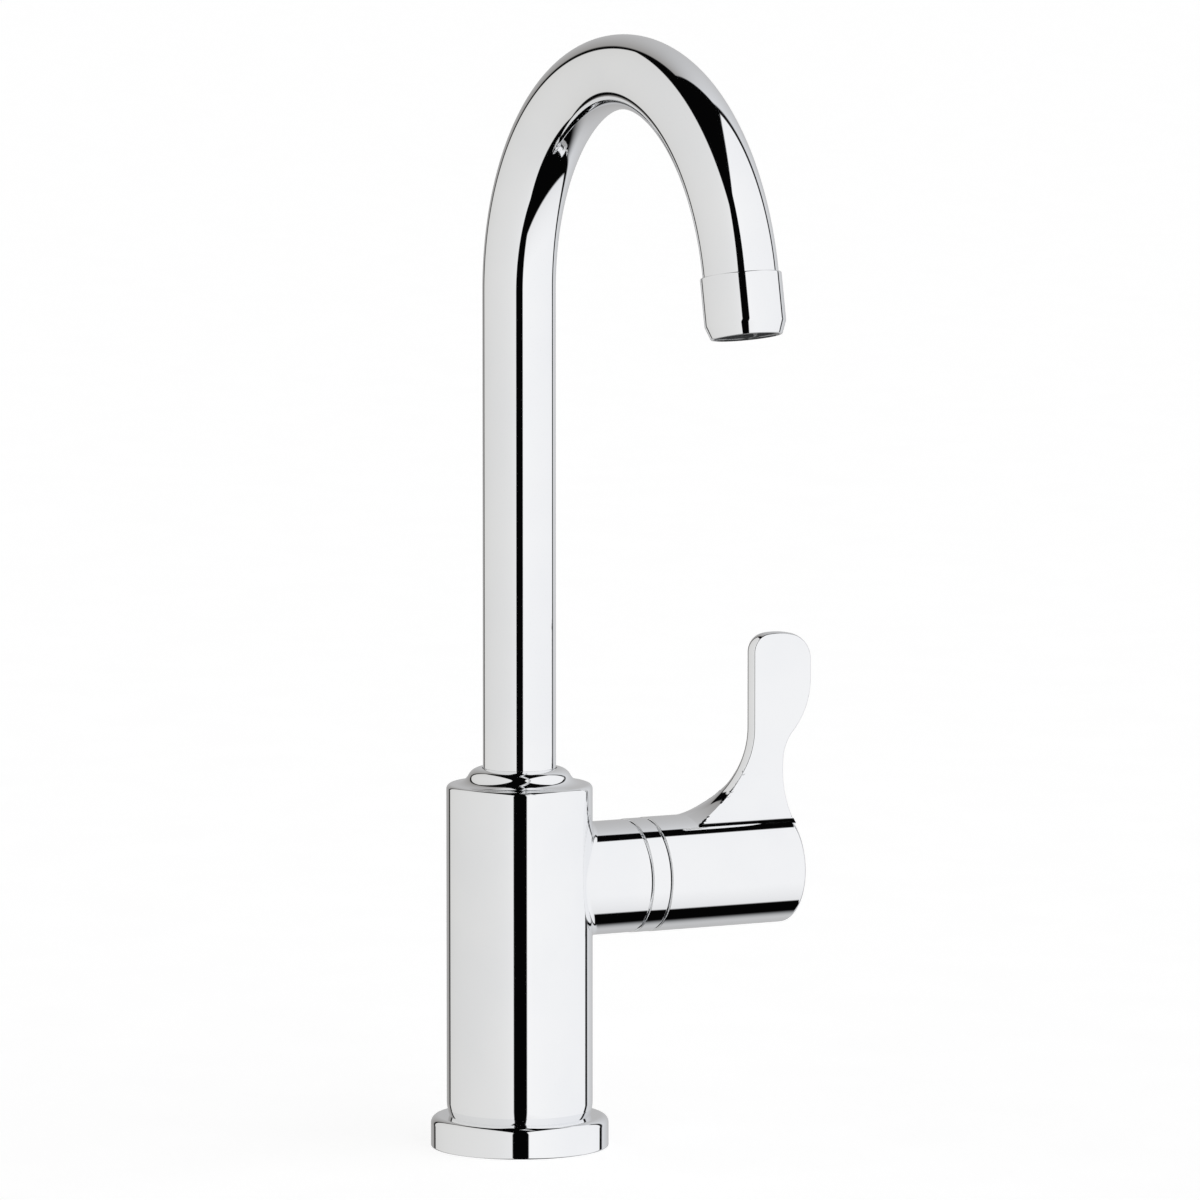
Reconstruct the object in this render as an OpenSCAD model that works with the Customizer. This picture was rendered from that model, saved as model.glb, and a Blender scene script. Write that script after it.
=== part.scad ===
// Gooseneck bar faucet with one side lever and a swivel spout, in millimetres.
// The origin is on the column's axis at the deck, +Z is up, the spout hangs toward -Y
// and the valve with its lever lies along +X. The lever stands upright, which is closed.

/* [Overall] */
// Height of the faucet above the deck
overall_h = 317.5; // [285:0.5:400]

/* [Spout tube] */
// Outside diameter of the spout tube
tube_d = 20.6; // [18.6:0.1:20.8]
// Wall of the spout tube
tube_wall = 1.1; // [0.8:0.1:1.4]
// Radius of the gooseneck, to the tube's centreline
bend_r = 64.5; // [50:0.5:90]
// Angle that the gooseneck turns through
bend_angle = 168.5; // [150:0.5:180]
// Depth that the tube goes down into the body
tube_depth = 3.4; // [2.5:0.1:3.9]

/* [Outlet and aerator] */
// Outside diameter of the outlet collar
collar_d = 22.1; // [22:0.1:25]
// Length of the outlet collar
collar_l = 16.8; // [15:0.1:22]
// Length of the collar's tapered end
collar_taper_l = 3.6; // [2:0.1:5]
// Outside diameter of the collar's open end
collar_end_d = 19.4; // [19.2:0.1:20.4]
// Length of tube inside the collar
collar_sleeve_l = 6.4; // [5:0.1:7.5]
// Bore of the collar's thread, which holds the aerator
aerator_d = 18; // [17:0.1:18.2]
// Diameter of the honeycomb's cells
cell_d = 1.9; // [1.2:0.1:2]

/* [Body] */
// Diameter of the body
body_d = 41.3; // [38:0.1:48]
// Height of the body's top rim above the deck
body_h = 107.9; // [107:0.1:130]
// Drop from the rim to the shoulder's outer edge
shoulder_drop = 4.7; // [4:0.1:6]
// Wall of the body's hollow lower part
body_wall = 3.05; // [2.2:0.05:4]
// Height of the hollow's roof, where the inlet port is
roof_h = 56; // [40:0.5:57]
// Width of the rim round the tube
rim_w = 0.5; // [0.4:0.1:1]
// Radius of the round on the shoulder's outer edge
shoulder_r = 1.4; // [0.6:0.1:2]
// Radius of the cove between the shoulder and the crown
cove_r = 4.6; // [4:0.1:5.2]
// Radius of the crown, from the rim down to the cove
crown_r = 3.8; // [3.2:0.1:4.2]
// Radius of the curve at the body's foot
foot_r = 11; // [8:0.5:16]
// Height of the curve at the body's foot
foot_h = 3.9; // [2:0.1:5]

/* [Flange] */
// Diameter of the flange
flange_d = 50.3; // [49:0.1:60]
// Height of the flange
flange_h = 8.9; // [7:0.1:12]
// Radius of the round on the flange's top edge
flange_top_r = 2.2; // [0.5:0.1:3]
// Radius of the round on the flange's bottom edge
flange_bottom_r = 0.5; // [0.2:0.1:1]
// Thickness of the gasket under the flange
gasket_t = 2.2; // [1.5:0.1:3]
// Width of the gasket
gasket_w = 2.9; // [2:0.1:3.4]

/* [Mounting] */
// Minor diameter of the two M6 stud holes
stud_hole_d = 5; // [4:0.1:5.2]
// Distance between the stud holes
stud_pitch = 23.6; // [22.8:0.1:24.4]
// Diameter of the hose's way through the base insert
hose_hole_d = 15; // [12:0.1:15.4]
// Thickness of the base insert
insert_t = 9; // [6:0.1:10]
// Minor diameter of the M10 x 1 inlet port
inlet_d = 8.92; // [8.4:0.01:10]
// Depth of the inlet port's thread
inlet_l = 11; // [8:0.5:12]

/* [Side valve] */
// Height of the valve's axis above the deck
valve_h = 74.9; // [73:0.1:76]
// Diameter of the valve neck
neck_d = 32.14; // [31.4:0.01:36]
// Distance from the column's axis to the end of the neck
neck_end = 34; // [33:0.1:44]
// Radius of the blend between the neck and the body
neck_blend_r = 2; // [1:0.1:3]
// Diameter of the trim ring
trim_d = 32.4; // [32:0.1:36]
// Width of the trim ring
trim_w = 5.5; // [5:0.1:9]
// Width of the shadow line on each side of the trim ring
groove_w = 0.5; // [0.4:0.05:1]
// Distance from the column's axis to the cartridge's seat
seat_x = 11; // [10:0.1:12]
// Major diameter of the cartridge's thread
cartridge_d = 20.8; // [20:0.1:21.6]
// Diameter of the ceramic discs
disc_d = 16; // [14:0.1:16.2]
// Thickness of each ceramic disc
disc_t = 3; // [2:0.1:3.2]
// Diameter of the stem in its guide
stem_d = 10; // [8:0.1:10.4]

/* [Lever handle] */
// Diameter of the handle's hub
hub_d = 32.6; // [31:0.1:38]
// Distance from the column's axis to the hub's end
hub_end = 84.2; // [80:0.1:100]
// Thickness of the lever blade
blade_t = 4.2; // [3:0.1:6]
// Height of the lever's top above the valve's axis
lever_h = 67.2; // [62:0.1:90]
// Distance that the lever's outer edge stands out beyond the hub's end
lever_swell = 9.5; // [7:0.1:13]
// Width of the lever blade where it is widest
lever_w = 19.4; // [17:0.1:23]
// Radius of the blend between the blade's faces and the hub
blade_blend_r = 16; // [12:0.1:18]
// Turn of the lever from closed to fully open, in degrees
lever_turn = 90; // [60:5:100]

/* [Fits] */
// Radial clearance of a running or threaded fit
fit_gap = 0.05; // [0.02:0.01:0.1]
// Gap between the turning hub and the trim ring
running_gap = 0.3; // [0.2:0.05:0.5]

/* [Hidden] */
$fn = 96;

// Cross-section of the O-rings
ring_t = 1.78;
// Width that an O-ring's groove has over its ring
ring_groove_play = 0.5;

// Spout
tube_r = tube_d / 2;
tube_bore_r = tube_r - tube_wall;
bend_z = overall_h - tube_r - bend_r;
tube_z = body_h - tube_depth;

// Ferrule that carries the spout in the body
swivel_r = tube_r + 4 * fit_gap;       // bore of the body's top
ferrule_gap = 0.3;                     // gap round the ferrule, which its O-rings bridge
ferrule_r = swivel_r - ferrule_gap;
ferrule_bore_r = 7.2;
ferrule_l = 13.5;
ferrule_z = tube_z - ferrule_l;
ferrule_spigot_l = 10;
washer_t = 1;
washer_z = ferrule_z - washer_t;       // floor that carries the spout
lower_ring_rise = 2.1;                 // middles of the grooves above the ferrule's foot
retainer_rise = 6;
upper_ring_rise = 9.9;
retainer_z = ferrule_z + retainer_rise;
retainer_groove_w = 3.2;
retainer_groove_depth = 1.6;
bush_t = 1;                            // wall of the upper bush
bush_l = 3.2;
bush_drop = 5;                         // depth of its foot below the rim
bush_z = body_h - bush_drop;
screw_r = 2.5;                         // M5 retaining screw
screw_dog_r = 1.2;
screw_sink = 2.6;                      // depth of its end below the body's surface
screw_start = 0.5;                     // distance of its shank from the swivel bore
screw_socket_r = 1.45;
screw_socket_depth = 2.5;

// Body
body_r = body_d / 2;
shoulder_h = body_h - shoulder_drop;
rim_r = swivel_r + rim_w;
ledge_rise = 0.2;                      // rise of the shoulder toward the cove
crown_rise = shoulder_drop - ledge_rise;
crown_slope = acos(1 - crown_rise / (crown_r + cove_r));
cove_z = shoulder_h + ledge_rise + cove_r;
cove_x = rim_r + sqrt(crown_rise * (2 * (crown_r + cove_r) - crown_rise));
spigot_step = 2.25;
spigot_r = body_r - spigot_step;       // spigot that locates the flange
spigot_wall = 2;
base_z = 0.5;                          // underside of the spigot and the insert
insert_r = spigot_r - spigot_wall;
insert_top = base_z + insert_t;
hollow_r = body_r - body_wall;
hollow_step = 1;                       // rise from the insert's thread to the hollow's full width
riser_r = 3.9;

// Side valve, as distances along +X from the column's axis
neck_r = neck_d / 2;
seal_t = 1.6;
port_rim = 1.4;                        // ports of the ceramic discs
port_core_r = 2.2;
port_half = 38;
fixed_x = seat_x + seal_t;
moving_x = fixed_x + disc_t + fit_gap;
driver_x = moving_x + disc_t;
sleeve_l = 14;                         // lower sleeve of the cartridge, below its thread
sleeve_step = 1.2;
sleeve_wall = 1.1;
sleeve_r = cartridge_d / 2 - sleeve_step;
sleeve_start = 0.8;                    // what the seal stands out of the sleeve
thread_x = seat_x + sleeve_l;
relief_l = 8;                          // water chamber round the windows
relief_x = thread_x - relief_l;
relief_r = 12.2;
key_w = 2;                             // key that keeps the fixed disc from turning
key_gap = 0.1;
seal_bore_r = 5;
window_w = 7;
window_l = 4.4;
window_rise = 0.9;                     // distance of the windows from the moving disc
trim_web_t = 1.5;                      // web clamped under the cartridge's hexagon
hex_x = neck_end + trim_web_t;
hex_t = 4;
hex_flats = 22;
hex_play = 0.6;
cartridge_ring_inset = 2.2;            // distance of its outer O-ring from the neck's end
nose_x = hex_x + hex_t;
nose_l = 3;
nose_r = 8;
stop_t = 2;                            // thickness of the stem's stop lug
stop_half = 15;                        // half the angle of the lug
lug_inset = 0.5;                       // distance of the lug's tip from the nose's rim
closed_at = 90;                        // where the lug points when the valve is closed
glide_t = 0.6;
stem_flange_t = 1.15;
stem_flange_r = 7.4;
driver_w = 4;                          // bar that turns the moving disc
driver_inset = 0.6;
driver_t = 3;
disc_play = 0.4;                       // radial play of the moving disc
driver_stem_r = 3.5;
stem_r = stem_d / 2;
stem_ring_at = [3, 6.5];               // places of its O-rings above the cartridge's thread
spline_r = 4;
spline_depth = 0.4;
spline_n = 20;
spline_gap = 1;                        // plain length between the nose and the spline
spline_l = 11.5;
spline_x = nose_x + nose_l + spline_gap;
stem_end = spline_x + spline_l;
inlet_cross_r = 4.2;                   // passage from the riser to the seat
plenum_r = 9;                          // space that feeds the spout
plenum_web = 0.4;
plenum_z = valve_h + sleeve_r + plenum_web;
transfer_r = 2;                        // passages from the water chamber to that space
transfer_at = 13.1;
transfer_run = 3;
transfer_x = plenum_r - transfer_run;
transfer_end_x = relief_x + 4.5;

// Handle
hub_r = hub_d / 2;
trim_r = trim_d / 2;
trim_x = neck_end + groove_w;
trim_end = trim_x + trim_w;
spigot_drop = 0.9;                     // depth of the shadow lines
hub_x = trim_end + groove_w;
hub_wall = 3.3;
hub_cavity_r = hub_r - hub_wall;
adapter_gap = 2;                       // distance of the adapter from the cartridge's nose
adapter_x = nose_x + nose_l + adapter_gap;
adapter_l = 13.5;
adapter_end = adapter_x + adapter_l;
core_r = 10.5;                         // hollow behind the adapter
end_wall = 5;
core_end = hub_end - end_wall;
hub_edge_r = 0.8;
edge_break = 0.3;                      // small chamfers on the hub and the neck
ring_edge_break = 0.2;
grub_r = 2;                            // M4 handle screw
grub_inset = 6.5;
grub_x = adapter_x + grub_inset;
grub_sink = 1.6;                       // depth of its end below the hub's surface
grub_socket_r = 1.15;
grub_socket_depth = 2.2;
grub_groove_w = 4.6;
grub_groove_depth = 0.8;

// Lever outline, as distances from the column's axis and heights above the valve's axis
root_small_r = 22;
root_large_r = 30;
lever_out_x = hub_end + lever_swell;
lever_in_x = lever_out_x - lever_w;
root_join = 50.2;                      // turn of the inner edge's sweep where its radius changes
waist_lean = 0.5;
waist_h = 30;                          // where the outer edge starts to swell
waist_share = 0.35;                    // share of the swell that curves inward
swell_drop = 13.7;                     // depth below the top where it is widest
swell_h = lever_h - swell_drop;
top_r = 24;
top_inset = 2.2;                       // distance of the top's centre from the hub's end
outer_corner_r = 8;
inner_corner_r = 5.5;
root_sink = 0.15;                      // depth that blends run into the hub

// Outlet
turned_down = 0.03;                    // what the tube's straight end is turned down by
turned_l = 0.5;                        // how far the turning runs back into the bend
washer_land = 1.6;                     // land between the tube's end and the aerator's washer
washer_land_w = 0.9;
washer_seat = collar_sleeve_l + washer_land;
aerator_r = aerator_d / 2;
aerator_washer_t = 1.4;
aerator_washer_w = 2.5;
aerator_top = washer_seat + aerator_washer_t;
aerator_sink = 0.5;                    // depth of its end inside the collar
aerator_wall = 1;
aerator_lip = 1;
key_notch_w = 1.6;                     // notches for the aerator's key
key_notch_depth = 1;
jet_plate_t = 1.6;
jet_ring_r = 4.6;
jet_d = 1.1;
cell_wall = 0.35;
honeycomb_sink = 1.1;                  // depth of the honeycomb below the barrel's end

// Points of an arc about c, from angle a0 to a1.
function arc(c, r, a0, a1, n = 8) =
    [for (i = [0:n]) c + r * [cos(a0 + (a1 - a0) * i / n), sin(a0 + (a1 - a0) * i / n)]];

// Points of a splined shaft's section.
function splines(tip_r) =
    [for (i = [0:spline_n * 4 - 1])
        (i % 4 < 2 ? tip_r : tip_r - spline_depth)
        * [cos(360 * (i + 0.5) / (spline_n * 4)), sin(360 * (i + 0.5) / (spline_n * 4))]];

// Solid of revolution about Z, from points [radius, height].
module turned(points) rotate_extrude() polygon(points);

// Plain ring that stands on z = 0.
module ring(outer_r, inner_r, h) {
    difference() {
        cylinder(r = outer_r, h = h);
        translate([0, 0, -1]) cylinder(r = inner_r, h = h + 2);
    }
}

// O-ring whose outside runs in a bore of radius bore_r, about z = 0.
module o_ring(bore_r) {
    rotate_extrude() translate([bore_r - fit_gap - ring_t / 2, 0]) circle(d = ring_t, $fn = 32);
}

// Cut for that O-ring's groove in a shaft.
module o_ring_groove(bore_r) {
    w = ring_t + ring_groove_play;
    translate([0, 0, -w / 2]) ring(bore_r + 1, bore_r - 2 * fit_gap - ring_t, w);
}

// Puts children on the valve's axis at distance x, with their +Z along +X.
module on_valve(x) translate([x, 0, valve_h]) rotate([0, 90, 0]) children();

// Puts children at the outlet, with z = 0 at the collar's rim and +Z along the flow.
module on_outlet() {
    translate([0, bend_r * (cos(bend_angle) - 1), bend_z + bend_r * sin(bend_angle)])
        rotate([bend_angle, 0, 0]) children();
}

// Flat wedge of a turn, from angle a0 to a1.
module wedge(r, a0, a1) polygon(concat([[0, 0]], arc([0, 0], r, a0, a1, 6)));

// ---- Base ----

module deck_flange() color("silver") {
    r = flange_d / 2;
    bore = spigot_r + 2 * fit_gap;
    difference() {
        turned(concat(
            [[bore, 0]],
            arc([r - flange_bottom_r, flange_bottom_r], flange_bottom_r, -90, 0, 4),
            arc([r - flange_top_r, flange_h - flange_top_r], flange_top_r, 0, 90),
            [[bore, flange_h]]));
        translate([0, 0, -1]) gasket_ring(fit_gap, gasket_t + 1);
    }
}

// Ring of the gasket, or of its groove when grown by a clearance.
module gasket_ring(grow, h) {
    middle = (spigot_r + flange_d / 2) / 2 + 0.1;
    ring(middle + gasket_w / 2 + grow, middle - gasket_w / 2 - grow, h);
}

module deck_gasket() color("dimgray") gasket_ring(0, gasket_t);

// Outside of the body: spigot, foot, wall, shoulder, cove, crown and rim.
function body_outline() = concat(
    [[0, base_z], [spigot_r, base_z], [spigot_r, flange_h]],
    arc([body_r - foot_r, flange_h + foot_h], foot_r, -asin(foot_h / foot_r), 0, 6),
    arc([body_r - shoulder_r, shoulder_h - shoulder_r], shoulder_r, 0, 90),
    arc([cove_x, cove_z], cove_r, 270, 270 - crown_slope, 8),
    arc([rim_r, body_h - crown_r], crown_r, 90 - crown_slope, 90, 8),
    [[0, body_h]]);

module valve_body() color("silver") difference() {
    union() {
        turned(body_outline());
        on_valve(0) turned([[0, 0], [neck_r, 0], [neck_r, neck_end - edge_break],
            [neck_r - edge_break, neck_end], [0, neck_end]]);
        neck_blend();
    }
    // Swivel bore, the bush's groove and the space that feeds the spout
    translate([0, 0, washer_z]) cylinder(r = swivel_r, h = body_h);
    translate([0, 0, bush_z - fit_gap])
        cylinder(r = tube_r + bush_t + 2 * fit_gap, h = bush_l + 2 * fit_gap);
    translate([0, 0, plenum_z]) cylinder(r = plenum_r, h = washer_z);
    // Rear hole of the screw that keeps the spout down
    translate([0, 0, retainer_z]) rotate([-90, 0, 0]) cylinder(r = screw_r, h = body_r + 1);
    // Hollow for the supply hose, with the insert's thread at its mouth
    turned([[0, -1], [insert_r + fit_gap, -1], [insert_r + fit_gap, insert_top],
        [hollow_r, insert_top + hollow_step], [hollow_r, roof_h], [0, roof_h]]);
    // Inlet port, riser and the way to the seat
    translate([0, 0, roof_h - 1]) cylinder(d = inlet_d, h = inlet_l + 1);
    translate([0, 0, roof_h]) cylinder(r = riser_r, h = valve_h - roof_h + riser_r);
    on_valve(0) cylinder(r = inlet_cross_r, h = seat_x + 1);
    // Seat, water chamber and thread of the cartridge
    on_valve(seat_x) cylinder(r = sleeve_r + 2 * fit_gap, h = neck_end);
    on_valve(relief_x) cylinder(r = relief_r, h = thread_x - relief_x);
    on_valve(thread_x) cylinder(r = cartridge_d / 2 + fit_gap, h = neck_end);
    // Passages from the water chamber up to the spout
    for (a = [-25, 0, 25])
        on_valve(transfer_x) rotate([0, 0, a]) translate([-transfer_at, 0, 0])
            cylinder(r = transfer_r, h = transfer_end_x - transfer_x);
}

// Rolling-ball blend round the neck's root: at each angle a section of an arc that ends just
// under both cylinders, with its corner deeper inside them.
module neck_blend() {
    steps = 72;
    arc_n = 6;
    sink = 0.04;
    deep = 0.8;
    function ball(a) = let (w = neck_r + neck_blend_r - sink, y = w * sin(a))
        [sqrt(pow(body_r + neck_blend_r - sink, 2) - y * y), y, w * cos(a)];
    function section(a) =
        let (c = ball(a), to_neck = [0, -sin(a), -cos(a)],
            to_body = -[c.x, c.y, 0] / norm([c.x, c.y]), turn = acos(to_neck * to_body),
            y = (neck_r - deep) * sin(a))
        concat([for (i = [0:arc_n]) let (b = turn * i / arc_n)
                c + neck_blend_r * (sin(turn - b) * to_neck + sin(b) * to_body) / sin(turn)],
            [[sqrt(pow(body_r - deep, 2) - y * y), y, (neck_r - deep) * cos(a)]]);
    n = arc_n + 2;
    translate([0, 0, valve_h]) polyhedron(
        points = [for (i = [0:steps - 1]) each section(360 * i / steps)],
        faces = [for (i = [0:steps - 1], j = [0:n - 1])
            let (k = (i + 1) % steps, m = (j + 1) % n)
            each [[i * n + j, i * n + m, k * n + m], [i * n + j, k * n + m, k * n + j]]]);
}

module base_insert() color("gold") difference() {
    translate([0, 0, base_z]) cylinder(r = insert_r, h = insert_t);
    cylinder(d = hose_hole_d, h = insert_top + 1);
    for (side = [-1, 1])
        translate([side * stud_pitch / 2, 0, 0]) cylinder(d = stud_hole_d, h = insert_top + 1);
}

module spout_thrust_washer() color("white")
    translate([0, 0, washer_z]) ring(swivel_r - fit_gap, ferrule_bore_r, washer_t);

module upper_spout_bush() color("white")
    translate([0, 0, bush_z]) ring(tube_r + fit_gap + bush_t, tube_r + fit_gap, bush_l);

module spout_retaining_screw() color("gray") difference() {
    tip_y = ferrule_r - retainer_groove_depth + running_gap;
    end_y = body_r - screw_sink;
    translate([0, 0, retainer_z]) rotate([-90, 0, 0]) union() {
        translate([0, 0, swivel_r + screw_start])
            cylinder(r = screw_r - fit_gap, h = end_y - swivel_r - screw_start);
        translate([0, 0, tip_y]) cylinder(r = screw_dog_r, h = swivel_r + screw_start - tip_y + 1);
    }
    translate([0, end_y - screw_socket_depth, retainer_z]) rotate([-90, 0, 0])
        cylinder(r = screw_socket_r, h = screw_socket_depth + 1, $fn = 6);
}

module trim_ring() color("silver") {
    bore = cartridge_d / 2 + 4 * fit_gap;
    recess = hex_flats / sqrt(3) + hex_play;
    groove = trim_r - spigot_drop;
    on_valve(0) turned([[bore, neck_end], [groove, neck_end], [groove, trim_x],
        [trim_r - ring_edge_break, trim_x], [trim_r, trim_x + ring_edge_break],
        [trim_r, trim_end - ring_edge_break], [trim_r - ring_edge_break, trim_end], [groove, trim_end],
        [groove, hub_x - running_gap], [recess, hub_x - running_gap], [recess, hex_x], [bore, hex_x]]);
}

// ---- Ceramic cartridge, fixed parts ----

module cartridge_shell() color("goldenrod") difference() {
    on_valve(0) union() {
        translate([0, 0, seat_x + sleeve_start]) cylinder(r = sleeve_r, h = thread_x - seat_x);
        translate([0, 0, thread_x]) cylinder(d = cartridge_d, h = hex_x - thread_x);
        translate([0, 0, hex_x]) cylinder(d = hex_flats / cos(30), h = hex_t, $fn = 6);
        translate([0, 0, nose_x]) cylinder(r = nose_r, h = nose_l);
    }
    // Cavity of the discs and guide of the stem
    on_valve(seat_x) cylinder(r = sleeve_r - sleeve_wall, h = thread_x - seat_x);
    on_valve(seat_x) cylinder(r = stem_r + fit_gap, h = hub_end);
    // Slots that keep the fixed disc from turning
    on_valve(seat_x) translate([-key_w / 2 - key_gap, -sleeve_r - 1, 0])
        cube([key_w + 2 * key_gap, 2 * sleeve_r + 2, seal_t + disc_t + fit_gap]);
    // Windows that let the water out sideways
    on_valve(driver_x + window_rise) for (a = [0, 90]) rotate([0, 0, a + 45])
        translate([-sleeve_r - 1, -window_w / 2, 0]) cube([2 * sleeve_r + 2, window_w, window_l]);
    // Groove of the outer O-ring
    on_valve(neck_end - cartridge_ring_inset) o_ring_groove(cartridge_d / 2 + fit_gap);
    // Notch whose two ends stop the stem's lug
    on_valve(nose_x + nose_l - stop_t - 2 * fit_gap) linear_extrude(stop_t + 1)
        wedge(nose_r + 1, closed_at - stop_half - 1, closed_at + lever_turn + stop_half + 1);
}

module seat_seal() color("black") on_valve(seat_x)
    ring(sleeve_r - sleeve_wall - fit_gap, seal_bore_r, seal_t);

// Two ports, opposite each other, through a ceramic disc.
module disc_ports(h) linear_extrude(h) for (a = [0, 180]) rotate(a) intersection() {
    difference() {
        circle(r = disc_d / 2 - port_rim);
        circle(r = port_core_r);
    }
    wedge(disc_d, -port_half, port_half);
}

module fixed_disc() color("whitesmoke") on_valve(fixed_x) difference() {
    union() {
        cylinder(d = disc_d, h = disc_t);
        translate([-key_w / 2, -sleeve_r + key_gap, 0]) cube([key_w, 2 * (sleeve_r - key_gap), disc_t]);
    }
    translate([0, 0, -1]) disc_ports(disc_t + 2);
}

module glide_ring() color("white")
    on_valve(thread_x - glide_t) ring(sleeve_r - sleeve_wall - fit_gap, stem_r + fit_gap, glide_t);

module cartridge_o_ring() color("black")
    on_valve(neck_end - cartridge_ring_inset) o_ring(cartridge_d / 2 + fit_gap);

// ---- Spout ----

module spout_tube() color("silver") {
    translate([0, 0, tube_z]) ring(tube_r, tube_bore_r, bend_z - tube_z);
    translate([0, -bend_r, bend_z]) rotate([90, 0, 90]) rotate_extrude(angle = bend_angle)
        translate([bend_r, 0]) difference() {
            circle(r = tube_r);
            circle(r = tube_bore_r);
        }
    // Straight end, turned down a little for the collar
    on_outlet() translate([0, 0, -turned_l])
        ring(tube_r - turned_down, tube_bore_r + turned_down, collar_sleeve_l + turned_l);
}

module spout_ferrule() color("goldenrod") difference() {
    union() {
        translate([0, 0, ferrule_z]) cylinder(r = ferrule_r, h = ferrule_l);
        cylinder_from(tube_z, tube_bore_r - fit_gap, ferrule_spigot_l);
    }
    cylinder_from(ferrule_z - 1, ferrule_bore_r, ferrule_l + ferrule_spigot_l + 2);
    for (rise = [lower_ring_rise, upper_ring_rise])
        translate([0, 0, ferrule_z + rise]) o_ring_groove(swivel_r);
    translate([0, 0, retainer_z - retainer_groove_w / 2])
        ring(ferrule_r + 1, ferrule_r - retainer_groove_depth, retainer_groove_w);
}

module cylinder_from(z, r, h) translate([0, 0, z]) cylinder(r = r, h = h);

module spout_o_rings() color("black")
    for (rise = [lower_ring_rise, upper_ring_rise])
        translate([0, 0, ferrule_z + rise]) o_ring(swivel_r);

module outlet_collar() color("silver") on_outlet() turned([
    [tube_r + fit_gap, 0], [collar_d / 2 - edge_break, 0], [collar_d / 2, edge_break],
    [collar_d / 2, collar_l - collar_taper_l], [collar_end_d / 2, collar_l], [aerator_r, collar_l],
    [aerator_r, washer_seat], [aerator_r - washer_land_w, washer_seat],
    [aerator_r - washer_land_w, collar_sleeve_l],
    [tube_r + fit_gap, collar_sleeve_l]]);

module aerator_washer() color("black") on_outlet()
    translate([0, 0, washer_seat]) ring(aerator_r - fit_gap, aerator_r - aerator_washer_w, aerator_washer_t);

// Threaded barrel of the aerator, with four notches for its key.
module aerator_shell() color("dimgray") {
    end = collar_l - aerator_sink;
    inner = aerator_r - aerator_wall;
    lip_z = aerator_top + aerator_lip;
    on_outlet() difference() {
        turned([[inner - aerator_lip, aerator_top], [aerator_r - fit_gap, aerator_top],
            [aerator_r - fit_gap, end], [inner, end], [inner, lip_z], [inner - aerator_lip, lip_z]]);
        for (a = [45, 135]) rotate([0, 0, a])
            translate([-aerator_r - 1, -key_notch_w / 2, end - key_notch_depth])
                cube([2 * aerator_r + 2, key_notch_w, key_notch_depth + 1]);
    }
}

// Plate that breaks the stream into jets.
module aerator_jet_plate() color("gray") on_outlet() translate([0, 0, aerator_top + aerator_lip])
    difference() {
        cylinder(r = aerator_r - aerator_wall - fit_gap, h = jet_plate_t);
        for (a = [0:30:330]) rotate([0, 0, a]) translate([jet_ring_r, 0, -1])
            cylinder(d = jet_d, h = jet_plate_t + 2, $fn = 16);
    }

// Honeycomb that straightens the stream: cells on rings of six, twelve and eighteen.
module aerator_honeycomb() color("gray") {
    pitch = cell_d + cell_wall;
    start = aerator_top + aerator_lip + jet_plate_t;
    h = collar_l - aerator_sink - honeycomb_sink - start;
    on_outlet() translate([0, 0, start]) difference() {
        cylinder(r = aerator_r - aerator_wall - fit_gap, h = h);
        for (i = [-3:3], j = [-3:3])
            if (abs(i + j) <= 3) translate([pitch * (i + j / 2), pitch * j * sqrt(3) / 2, -1])
                rotate(30) cylinder(d = cell_d, h = h + 2, $fn = 6);
    }
}

// ---- Handle ----

// Lever's outline: the inner edge sweeps out of the hub, the outer edge swells above its waist.
function lever_outline() =
    let (step = (root_large_r - root_small_r) * [cos(root_join), -sin(root_join)],
        large_c = [lever_in_x - root_small_r - step.x, hub_r - root_sink + root_large_r],
        small_c = large_c + step,
        waist = [hub_end + waist_lean, waist_h],
        sum_r = (pow(lever_out_x - waist.x, 2) + pow(swell_h - waist_h, 2)) / 2 / (lever_out_x - waist.x),
        waist_r = sum_r * waist_share,
        swell_r = sum_r - waist_r,
        bend = asin((swell_h - waist_h) / sum_r),
        top_c = [hub_end - top_inset, lever_h - top_r],
        outer_c = corner(top_c, lever_out_x - outer_corner_r, outer_corner_r),
        inner_c = corner(top_c, lever_in_x + inner_corner_r, inner_corner_r),
        outer_a = atan2(outer_c.y - top_c.y, outer_c.x - top_c.x),
        inner_a = atan2(inner_c.y - top_c.y, inner_c.x - top_c.x))
    concat(
        [[large_c.x, 0], [hub_end, 0], [hub_end, hub_r]],
        arc([waist.x + waist_r, waist.y], waist_r, 180, 180 - bend),
        arc([lever_out_x - swell_r, swell_h], swell_r, -bend, 0, 10),
        arc(outer_c, outer_corner_r, 0, outer_a),
        arc(top_c, top_r, outer_a, inner_a, 6),
        arc(inner_c, inner_corner_r, inner_a, 180),
        arc(small_c, root_small_r, 0, -root_join, 12),
        arc(large_c, root_large_r, -root_join, -90, 10));

// Centre of a corner arc that runs smoothly into the top arc.
function corner(top_c, x, r) = [x, top_c.y + sqrt(pow(top_r - r, 2) - pow(x - top_c.x, 2))];

// Lever's section across the blade, with a blend on each side that flows into the hub.
function blade_section() =
    let (half = blade_t / 2, out = half + blade_blend_r,
        c = [out, sqrt(pow(hub_r - root_sink + blade_blend_r, 2) - pow(out, 2))],
        side = arc(c, blade_blend_r, 180, 180 + atan2(c.y, c.x), 14))
    concat([for (p = side) p], [[0, 0]],
        [for (i = [len(side) - 1:-1:0]) [-side[i].x, side[i].y]],
        [[-half, lever_h + 1], [half, lever_h + 1]]);

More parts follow.
